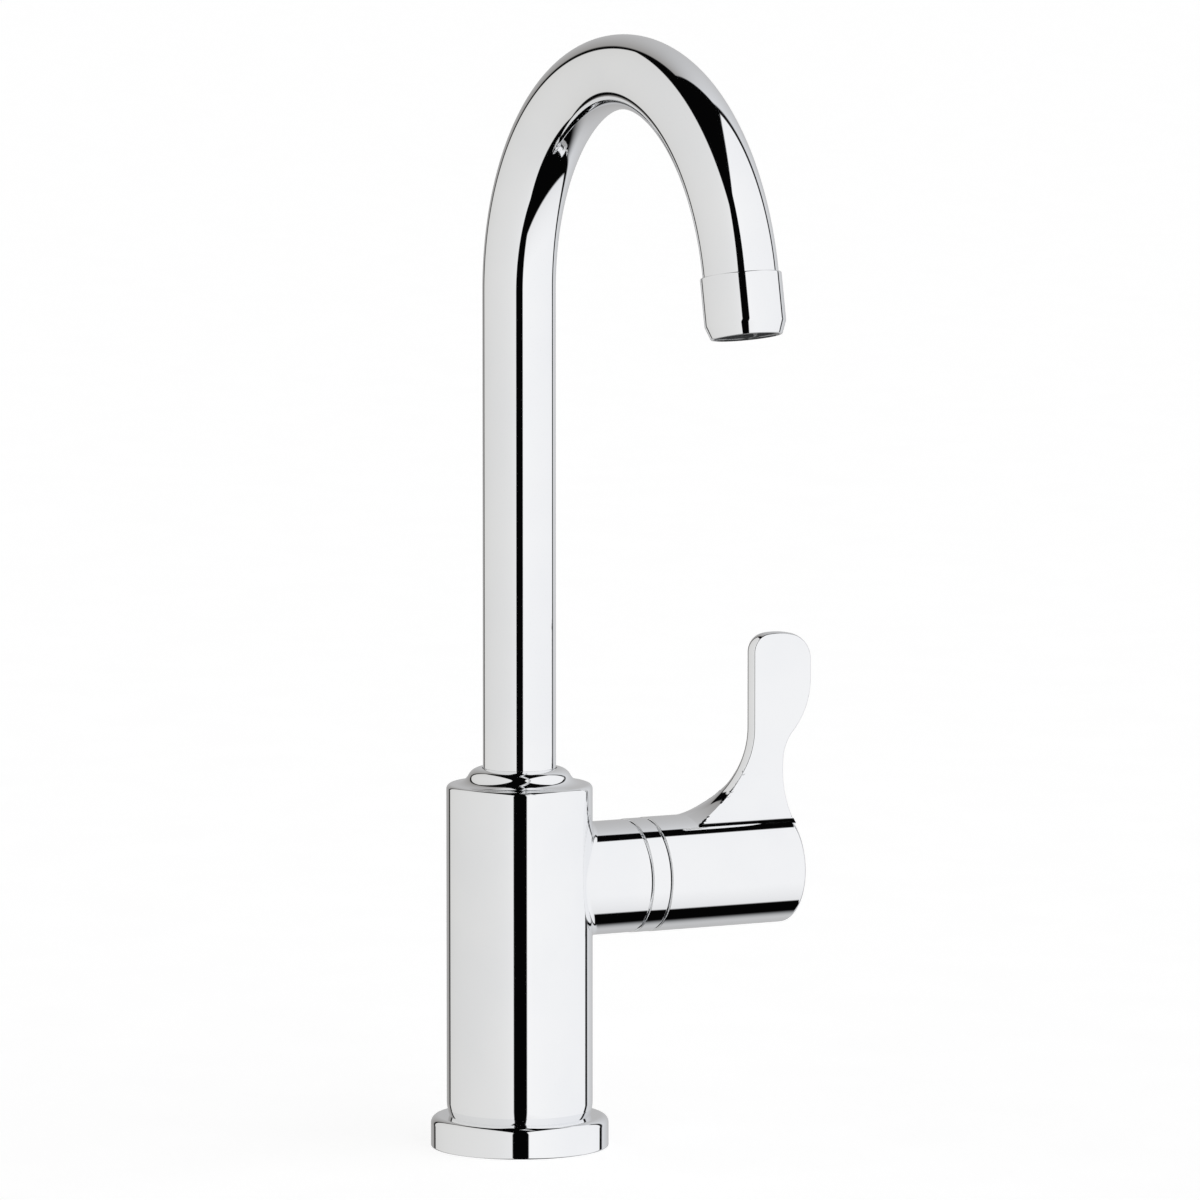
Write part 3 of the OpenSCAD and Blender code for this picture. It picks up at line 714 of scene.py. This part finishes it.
    def grow_neck(self, bm: BMesh, low: float) -> None:
        """Cuts the window, sets the blend's rings in it and extrudes the neck with its bore.

        Args:
            bm: Body's shell.
            low: Height of the window's lower edge.
        """
        half = math.pi / STEPS * (self.window_steps + 0.5)
        middles = {face: face.calc_center_median() for face in bm.faces}
        inside = [face for face, at in middles.items() if low < at.z < low + self.window_h
                  and math.hypot(at.x, at.y) > self.body_r - 0.1
                  and abs(math.atan2(at.y, at.x)) < half]
        rim = [e for f in inside for e in f.edges if not all(g in inside for g in e.link_faces)]
        bmesh.ops.delete(bm, geom=inside, context="FACES")
        angle = bm.verts.layers.float.new("angle")
        ring = bmesh.ops.create_circle(bm, segments=STEPS, radius=self.neck_r)["verts"]
        centre = Vector((0, 0, self.valve_h))
        for v in ring:
            v[angle] = math.atan2(v.co.y, v.co.x)
            v.co = centre + self.blend_point(v[angle], 0)
        loop = list({e for v in ring for e in v.link_edges})
        bridge = bmesh.ops.bridge_loops(bm, edges=rim + loop)
        split = bmesh.ops.subdivide_edges(bm, edges=bridge["edges"], cuts=self.window_cuts,
                                          use_grid_fill=True)
        for v in {g for g in split["geom_inner"] if isinstance(g, BMVert)}:
            v.co.xy = v.co.xy.normalized() * self.body_r
        for i in range(1, self.blend_strips + 1):
            share = i / self.blend_strips
            loop = grow(bm, loop, lambda v, s=share: centre + self.blend_point(v[angle], s))
        end, out = self.neck_end, self.neck_r
        for x, r in ((end - 0.3, out), (end - 0.1, out - 0.1), (end, out - 0.3), *self.neck_bore):
            loop = grow(bm, loop, lambda v, x=x, r=r: centre + Vector(
                (x, r * math.sin(v[angle]), r * math.cos(v[angle]))))
        bmesh.ops.remove_doubles(bm, verts=bm.verts, dist=0.002)
        bmesh.ops.recalc_face_normals(bm, faces=bm.faces)

    def build_trim_ring(self) -> None:
        """Turns the trim ring with a shadow line on each side."""
        bm = lathe(self.ring_section, closed=True)
        round_rings(bm, *((corner, 0.25, 4) for corner in self.ring_section[3:5]))
        ring = chromed(bm, "trim_ring_polished", along_x(self.neck_end, self.valve_h))
        hand_over(ring, Body.BASE, "trim_ring")


@dataclass
class Spout:
    """Gooseneck tube with its outlet collar.

    Attributes:
        tube_r: Radius of the tube.
        tube_wall: Wall of the tube.
        foot_z: Height of the tube's lower end.
        bend_z: Height of the bend's centre.
        bend_r: Radius of the bend.
        bend_angle: Turn of the bend, in degrees.
        sleeve_l: Length of straight tube inside the collar.
        sleeve_gap: Gap between the tube and the collar.
        collar_r: Radius of the collar.
        collar_l: Length of the collar.
        mouth_r: Radius of its open end.
        taper_l: Length of its taper.
        taper_round: Round at the taper's start.
        bore_r: Bore that holds the aerator.
        land_r: Bore of the land that the aerator's washer seals on.
        land_l: Length of the land.
        tube_sides: Sides of the tube.
        column_steps: Steps up the column.
        bend_steps: Steps round the bend.
    """

    tube_r: float = 10.3
    tube_wall: float = 1.1
    foot_z: float = 104.5
    bend_z: float = 242.7
    bend_r: float = 64.5
    bend_angle: float = 168.5
    sleeve_l: float = 6.4
    sleeve_gap: float = 0.05
    collar_r: float = 11.05
    collar_l: float = 16.8
    mouth_r: float = 9.7
    taper_l: float = 3.6
    taper_round: float = 2.0
    bore_r: float = 9.0
    land_r: float = 8.1
    land_l: float = 1.6
    tube_sides: int = 128
    column_steps: int = 4
    bend_steps: int = 150

    def build(self) -> None:
        """Builds and dresses the pieces."""
        self.build_tube()
        self.build_collar()

    def outlet(self) -> Matrix:
        """Gives the matrix that sets a piece at the tube's end, with +Z along the flow.

        Returns:
            The matrix.
        """
        turn = math.radians(self.bend_angle)
        end = Vector((0, self.bend_r * (math.cos(turn) - 1),
                      self.bend_z + self.bend_r * math.sin(turn)))
        return Matrix.Translation(end) @ Matrix.Rotation(turn, 4, "X")

    def build_tube(self) -> None:
        """Extrudes the column, spins the bend and gives the tube its wall."""
        bm = bmesh.new()
        ring = bmesh.ops.create_circle(bm, segments=self.tube_sides, radius=self.tube_r)["verts"]
        bmesh.ops.translate(bm, verts=ring, vec=(0, 0, self.foot_z))
        edges = list(bm.edges)
        rise = Vector((0, 0, (self.bend_z - self.foot_z) / self.column_steps))
        for _ in range(self.column_steps):
            edges = grow(bm, edges, lambda v: v.co + rise)
        spun = bmesh.ops.spin(bm, geom=edges, cent=(0, -self.bend_r, self.bend_z), axis=(1, 0, 0),
                              angle=math.radians(self.bend_angle), steps=self.bend_steps)
        last = [g for g in spun["geom_last"] if isinstance(g, BMEdge)]
        sleeve = self.outlet().to_3x3() @ Vector((0, 0, self.sleeve_l))
        grow(bm, last, lambda v: v.co + sleeve)
        bmesh.ops.remove_doubles(bm, verts=bm.verts, dist=MERGE)
        bmesh.ops.recalc_face_normals(bm, faces=bm.faces)
        bmesh.ops.solidify(bm, geom=list(bm.faces), thickness=self.tube_wall)
        tube = chromed(bm, "spout_tube_polished", weigh=False)
        hand_over(tube, Body.SPOUT, "spout_tube")

    def build_collar(self) -> None:
        """Turns the outlet collar."""
        r, l, taper = self.collar_r, self.collar_l, self.collar_l - self.taper_l
        inner, seat = self.tube_r + self.sleeve_gap, self.sleeve_l + self.land_l
        bm = lathe([(inner, 0), (r, 0), (r, taper), (self.mouth_r, l), (self.bore_r, l),
                    (self.bore_r, seat), (self.land_r, seat), (self.land_r, self.sleeve_l),
                    (inner, self.sleeve_l)], closed=True)
        round_rings(bm, ((r, 0), 0.35, 4), ((r, taper), self.taper_round, 6),
                    ((self.mouth_r, l), 0.25, 4))
        collar = chromed(bm, "outlet_collar_polished", self.outlet())
        hand_over(collar, Body.SPOUT, "outlet_collar")


@dataclass
class Lever:
    """Handle: a hub on the valve's axis and an upright blade that flows out of it.

    Attributes:
        valve_h: Height of the valve's axis.
        hub_r: Radius of the hub.
        hub_x: Distance from the column's axis to the hub's start.
        hub_end: Distance from the column's axis to the hub's end.
        end_r: Round on the hub's end.
        end_t: Thickness of that end.
        hollow_r: Radius of the hollow for the adapter.
        hollow_l: Length of that hollow.
        bore_r: Radius of the hollow beyond it.
        grub_x: Distance from the column's axis to the handle screw.
        grub_r: Radius of that screw's hole.
        blade_t: Thickness of the blade.
        in_x: Distance from the column's axis to the blade's inner edge.
        out_x: Distance from the column's axis to its outer edge.
        top_h: Height of the top above the valve's axis.
        top_r: Radius that the top is arched to.
        top_in: Distance of that arch's centre from the hub's end.
        in_r: Radius of the top's inner corner.
        out_r: Radius of its outer corner.
        swell_d: Distance from the top down to the blade's widest place.
        waist_h: Height of the waist above the valve's axis.
        waist_out: Distance of the waist's edge past the hub's end.
        waist_share: Share of the outer edge's curve that is hollow.
        sweep_r: Radius of the inner edge beside the blade.
        sweep_turn: Turn of the edge at that radius, in degrees.
        root_r: Radius of the inner edge beside the hub.
        root_lead: Slope at which that edge leaves the hub, in degrees.
        root_y: Half of the width over which the rim widens into the hub.
        blend_r: Radius of the blend between blade and hub.
        blend_steps: Steps across the blend.
        rim_r: Radius that the blade's rim is crowned to.
        rim_angle: Edges sharper than this many degrees are rounded.
        edge_r: Round on the blade's edges.
        strips: Strips that the section is extruded in.
        weld: Distance under which the joined meshes' vertices are one.
    """

    valve_h: float = 74.9
    hub_r: float = 16.3
    hub_x: float = 40.5
    hub_end: float = 84.2
    end_r: float = 1.4
    end_t: float = 5.0
    hollow_r: float = 13.0
    hollow_l: float = 17.5
    bore_r: float = 10.5
    grub_x: float = 51.0
    grub_r: float = 2.0
    blade_t: float = 4.2
    in_x: float = 74.3
    out_x: float = 93.7
    top_h: float = 67.2
    top_r: float = 24.0
    top_in: float = 2.2
    in_r: float = 5.5
    out_r: float = 8.0
    swell_d: float = 13.7
    waist_h: float = 30.0
    waist_out: float = 0.5
    waist_share: float = 0.35
    sweep_r: float = 22.0
    sweep_turn: float = 50.2
    root_r: float = 30.0
    root_lead: float = 8.0
    root_y: float = 11.0
    blend_r: float = 18.5
    blend_steps: int = 40
    rim_r: float = 4.8
    rim_angle: float = 35.0
    edge_r: float = 0.4
    strips: int = 70
    weld: float = 0.01

    def build(self) -> None:
        """Builds and dresses the handle."""
        bm = cut(self.hub(), cut(self.section(), self.blade(), "INTERSECT"), "UNION")
        hole = bmesh.new()
        bmesh.ops.create_cone(hole, cap_ends=True, segments=48, radius1=self.grub_r,
                              radius2=self.grub_r, depth=5,
                              matrix=Matrix.Translation((self.grub_x, 0, -self.hub_r + 0.5)))
        bm = cut(bm, hole, "DIFFERENCE")
        bmesh.ops.remove_doubles(bm, verts=bm.verts, dist=self.weld)
        bmesh.ops.dissolve_degenerate(bm, dist=self.weld, edges=bm.edges)
        half = self.blade_t / 2
        bmesh.ops.dissolve_faces(bm, faces=[f for f in bm.faces if abs(f.normal.y) > 0.9999 and abs(
            abs(f.calc_center_median().y) - half) < NEAR])
        bevel(bm, [e for e in bm.edges if self.is_rim(e)], self.edge_r, 4)
        handle = chromed(bm, "handle_polished", Matrix.Translation((0, 0, self.valve_h)), 32)
        hand_over(handle, Body.LEVER, "handle")

    def is_rim(self, edge: BMEdge) -> bool:
        """Tells whether an edge of the handle is one that the polisher has rounded.

        Args:
            edge: Edge of the handle.

        Returns:
            True for the edges of the blade that stand clear of the hub.
        """
        if len(edge.link_faces) != 2 or edge.calc_face_angle() < math.radians(self.rim_angle):
            return False
        middle = (edge.verts[0].co + edge.verts[1].co) / 2
        clear = math.hypot(middle.y, middle.z) > self.hub_r + self.edge_r
        return clear and (middle.z > self.hub_r + 3 or middle.x > self.hub_end - 1)

    def hub(self) -> BMesh:
        """Turns the hub with the hollow for its adapter.

        Returns:
            The hub, about X.
        """
        length = self.hub_end - self.hub_x
        shelf = length - self.end_t
        bm = lathe([(0, length), (self.hub_r, length), (self.hub_r, 0), (self.hollow_r, 0),
                    (self.hollow_r, self.hollow_l), (self.bore_r, self.hollow_l),
                    (self.bore_r, shelf), (0, shelf)])
        round_rings(bm, ((self.hub_r, 0), 0.3, 3), ((self.hub_r, length), self.end_r, 8))
        bm.transform(along_x(self.hub_x, 0))
        return bm

    def section(self) -> BMesh:
        """Draws the blade's section with its two blends and extrudes it along X.

        Returns:
            The extruded section.
        """
        half, top, sink = self.blade_t / 2, self.top_h + 2, 0.03
        out = half + self.blend_r
        up = math.sqrt((self.hub_r - sink + self.blend_r) ** 2 - out ** 2)
        turn = math.degrees(math.atan2(up, out))
        path = Outline((half, top))
        path.line((half, up))
        path.arc((out, up), turn, self.blend_steps)
        foot = path.at.co.copy()  # the section runs on inside the hub
        path.line((foot.x - 0.6, foot.z - 1.6), (0.6 - foot.x, foot.z - 1.6), (-foot.x, foot.z))
        path.arc((-out, up), turn, self.blend_steps)
        path.line((-half, top))
        path.close()
        bm = path.extruded(Vector((0, -self.out_x - 3, 0)), self.strips)
        bm.transform(Matrix.Rotation(math.pi / 2, 4, "Z"))
        return bm

    def blade(self) -> BMesh:
        """Lofts the outline across the blade: crowned over the rim, then out along the hub.

        Returns:
            The loft.
        """
        half, over, along = self.blade_t / 2, 6, 10
        right = [half * i / over for i in range(over + 1)]
        right += [half + (self.root_y - half) * (i / along) for i in range(1, along + 1)]
        layers = [-y for y in reversed(right[1:])] + right
        bm = bmesh.new()
        number = bm.verts.layers.float.new("number")
        places = self.outline(layers[0])
        verts = [bm.verts.new(place) for place in places]
        for i, v in enumerate(verts):
            v[number] = i
        first = loop = [bm.edges.new(pair) for pair in zip(verts, verts[1:] + verts[:1])]
        for y in layers[1:]:
            places = self.outline(y)
            loop = grow(bm, loop, lambda v, places=places: places[round(v[number])])
        for end in (first, loop):
            bmesh.ops.contextual_create(bm, geom=end)
        bmesh.ops.recalc_face_normals(bm, faces=bm.faces)
        return bm

    def outline(self, y: float) -> list[Vector]:
        """Draws the blade's outline at one distance from its middle plane.

        Args:
            y: Distance from the middle plane.

        Returns:
            Corners of the outline.
        """
        half = self.blade_t / 2
        near, far = min(abs(y), half), max(abs(y), half)
        crown = self.rim_r - math.sqrt(self.rim_r ** 2 - near ** 2)
        inset = (crown + math.sqrt(self.hub_r ** 2 - half ** 2)
                 - math.sqrt(self.hub_r ** 2 - far ** 2))
        turn, lead = math.radians(self.sweep_turn), math.radians(self.root_lead)
        step = Vector((math.cos(turn), -math.sin(turn))) * (self.root_r - self.sweep_r)
        root_c = Vector((self.in_x - self.sweep_r - step.x, self.hub_r - 0.15 + self.root_r))
        waist = Vector((self.hub_end + self.waist_out, self.waist_h))
        swell = self.top_h - self.swell_d
        rise, run = swell - waist.y, self.out_x - waist.x
        both = (run ** 2 + rise ** 2) / 2 / run
        bend = math.degrees(math.asin(rise / both))
        top_c = Vector((self.hub_end - self.top_in, self.top_h - self.top_r))
        outer_c = self.corner(top_c, self.out_x, -self.out_r)
        inner_c = self.corner(top_c, self.in_x, self.in_r)
        outer_a = math.degrees(math.atan2(outer_c.y - top_c.y, outer_c.x - top_c.x))
        inner_a = math.degrees(math.atan2(inner_c.y - top_c.y, inner_c.x - top_c.x))
        first = root_c + Vector((math.sin(lead), -math.cos(lead))) * (self.root_r + inset)
        # The tail and the end of the outline lie inside the hub.
        tail = first - Vector((math.cos(lead), math.sin(lead))) * 9.0
        deep = self.hub_r - 2.8 - inset
        path = Outline((tail.x, deep))
        path.line(tail, first)
        path.arc(root_c, 90 - math.degrees(lead) - self.sweep_turn, 24)
        path.arc(root_c + step, self.sweep_turn, 28)
        path.line((self.in_x + inset, inner_c.y))
        path.arc(inner_c, inner_a - 180, 14)
        path.arc(top_c, outer_a - inner_a, 20)
        path.arc(outer_c, -outer_a, 16)
        path.line((self.out_x - crown, swell))
        path.arc((self.out_x - both * (1 - self.waist_share), swell), -bend, 28)
        path.arc((waist.x + both * self.waist_share, waist.y), bend, 20)
        path.line((self.hub_end, self.hub_r - 2.0 - inset), (self.hub_end - 1.0, deep))
        corners = path.places()
        path.bm.free()
        return [Vector((corner.x, y, corner.z)) for corner in corners]

    def corner(self, top_c: Vector, edge_x: float, inset: float) -> Vector:
        """Gives the centre of a corner that runs into the top's arch; inset is its radius."""
        x = edge_x + inset
        return Vector((x, top_c.y + math.sqrt((self.top_r - abs(inset)) ** 2 - (x - top_c.x) ** 2)))


# ---------------------------------------------------------------- studio


@dataclass(frozen=True)
class Panel:
    """Large flat diffuser that the chrome mirrors.

    Attributes:
        facing: Direction of its middle, in degrees from -Y toward +X.
        left: Left edge, as the tangent of its angle from the middle.
        right: Right edge, as the same.
        low: Lower edge, as the tangent of its angle above the horizon.
        high: Upper edge at its middle, as the same.
        rise: How much the upper edge rises toward the right.
        soft: Width over which its sides and its upper edge fade.
        fade: Width over which its lower edge fades.
        at_left: Light by its left edge.
        at_right: Light by its right edge.
        low_share: Share of its light that is left at its lower edge.
    """

    facing: float
    left: float
    right: float
    low: float
    high: float
    rise: float
    soft: float
    fade: float
    at_left: Colour
    at_right: Colour
    low_share: float = 1.0

    def light(self, graph: Graph, way: NodeSocket) -> tuple[NodeSocket, NodeSocket]:
        """Adds the panel's nodes.

        Args:
            graph: World's graph.
            way: Direction that is looked up.

        Returns:
            The panel's cover and its colour.
        """
        turned = graph.add("ShaderNodeVectorRotate", {"rotation_type": "Z_AXIS"}, vector=way,
                           angle=math.radians(90 - self.facing)).outputs[0]
        x, y, z = graph.add("ShaderNodeSeparateXYZ", vector=turned).outputs
        ahead = graph.math("MAXIMUM", x, 1e-4)
        across, up = graph.math("DIVIDE", y, ahead), graph.math("DIVIDE", z, ahead)
        under = graph.math("SUBTRACT", up, graph.math("MULTIPLY", across, self.rise))
        cover = graph.math("GREATER_THAN", x, 1e-3)
        for value, edge, grow_by, width in (
                (across, self.left, 1, self.soft), (across, self.right, -1, self.soft),
                (up, self.low, 1, self.fade), (under, self.high, -1, self.soft)):
            half = grow_by * width * (1 + abs(edge)) / 2
            cover = graph.math("MULTIPLY", cover, graph.span(
                value, edge - half, edge + half, smooth=True))
        light = graph.blend(graph.span(across, self.left, self.right), self.at_left, self.at_right)
        falling = graph.span(up, self.low, self.low / 3, self.low_share, 1.0)
        return cover, graph.blend(falling, (0.0, 0.0, 0.0), light)


@dataclass
class Studio:
    """Camera, floor and light.

    Attributes:
        camera_at: Place of the camera, in metres.
        lens: Focal length, in millimetres.
        sensor: Width of the camera's sensor, in millimetres.
        pitch: Tilt of the camera below the horizon, in radians.
        heading: Turn of the camera about Z, in radians.
        floor_r: Radius of the floor, in metres.
        floor_shade: Darkest and lightest shade of the floor.
        floor_glow: Light that the floor adds for the camera, so that it is nearly white.
        panels: Diffusers round the object.
        dark: Light of the unlit room.
    """

    camera_at: tuple[float, float, float] = (-1.30543, -2.46960, 0.45908)
    lens: float = 299.39
    sensor: float = 36.0
    pitch: float = 0.1083
    heading: float = -0.4944
    floor_r: float = 40.0
    floor_shade: tuple[float, float] = (0.50, 0.52)
    floor_glow: float = 0.72
    dark: Colour = (0.0015, 0.0015, 0.0016)
    panels: tuple[Panel, ...] = field(default_factory=lambda: (
        Panel(-105, -2.14, 2.45, -3.7, 2.25, 0.0, 0.05, 0.06, (0.69, 0.685, 0.67),
              (0.86, 0.86, 0.86)),
        Panel(45, -1.82, 1.40, -1.55, 2.3, 0.0, 0.05, 0.06, (0.985, 0.985, 0.99),
              (0.93, 0.935, 0.95), 0.86),
        Panel(145, -0.78, 0.81, -1.6, 2.6, 1.0, 0.06, 0.46, (0.72, 0.73, 0.75),
              (0.32, 0.31, 0.30)),
    ))

    def build(self) -> None:
        """Builds the studio."""
        self.set_camera()
        self.light_world()
        self.lay_floor()

    def set_camera(self) -> None:
        """Sets the camera at the photograph's viewing angle."""
        data = bpy.data.cameras.new("camera")
        data.lens, data.sensor_width, data.clip_end = self.lens, self.sensor, 100.0
        camera = bpy.data.objects.new("camera", data)
        camera.location = self.camera_at
        camera.rotation_euler = (math.pi / 2 - self.pitch, 0, self.heading)
        bpy.context.scene.collection.objects.link(camera)
        bpy.context.scene.camera = camera

    def light_world(self) -> None:
        """Lights the object from large diffusers in a dark room, and shows white behind it."""
        world = bpy.data.worlds.new("studio")
        world.use_nodes = True
        graph = Graph(world.node_tree)
        way = graph.add("ShaderNodeTexCoord").outputs["Generated"]
        colour: Value = self.dark
        for panel in self.panels:
            cover, light = panel.light(graph, way)
            colour = graph.blend(cover, colour, light)
        room = graph.add("ShaderNodeBackground", color=colour, strength=1.0)
        white = graph.add("ShaderNodeBackground", color=(1.0, 1.0, 1.0), strength=1.0)
        rays = graph.add("ShaderNodeLightPath").outputs
        seen = graph.math("MAXIMUM", rays["Is Camera Ray"], rays["Is Transmission Ray"])
        mix = graph.add("ShaderNodeMixShader", fac=seen)
        graph.put(mix.inputs[1], room.outputs[0])
        graph.put(mix.inputs[2], white.outputs[0])
        graph.show("ShaderNodeOutputWorld", mix)
        bpy.context.scene.world = world

    def lay_floor(self) -> None:
        """Lays a plain pale floor that keeps the object's soft shadow."""
        bm = bmesh.new()
        bmesh.ops.create_circle(bm, cap_ends=True, segments=128, radius=self.floor_r)
        floor = put_in_scene(bm, "floor")
        material = bpy.data.materials.new("pale_floor")
        material.use_nodes = True
        graph = Graph(material.node_tree)
        where = graph.add("ShaderNodeTexCoord").outputs["Object"]
        grain = graph.span(graph.noise(where, 30.0), 0.3, 0.7, *self.floor_shade)
        shade = graph.add("ShaderNodeBsdfDiffuse", color=graph.blend(grain, (0.0,) * 3, (1.0,) * 3))
        seen = graph.add("ShaderNodeLightPath").outputs["Is Camera Ray"]
        glow = graph.add("ShaderNodeEmission", color=(1.0, 1.0, 1.0),
                         strength=graph.math("MULTIPLY", seen, self.floor_glow))
        both = graph.add("ShaderNodeAddShader")
        graph.put(both.inputs[0], shade.outputs[0])
        graph.put(both.inputs[1], glow.outputs[0])
        graph.show("ShaderNodeOutputMaterial", both)
        floor.data.materials.append(material)
        floor.visible_glossy = False


def dress_nodes() -> None:
    """Gives each CAD node that keeps its own mesh its finish."""
    for finish, slot, names in NODE_FINISHES:
        for name in names:
            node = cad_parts[name]
            finish.put_on(node)
            LOG.info("%s: %s", name, finish.name)


def main() -> None:
    """Builds the faucet and its studio."""
    logging.basicConfig(level=logging.INFO, format="%(name)s: %(message)s")
    view = bpy.context.scene.view_settings
    view.view_transform = "Standard"
    for assembly in (Studio(), Base(), Spout(), Lever()):
        assembly.build()
    dress_nodes()


if __name__ == "__main__":
    main()
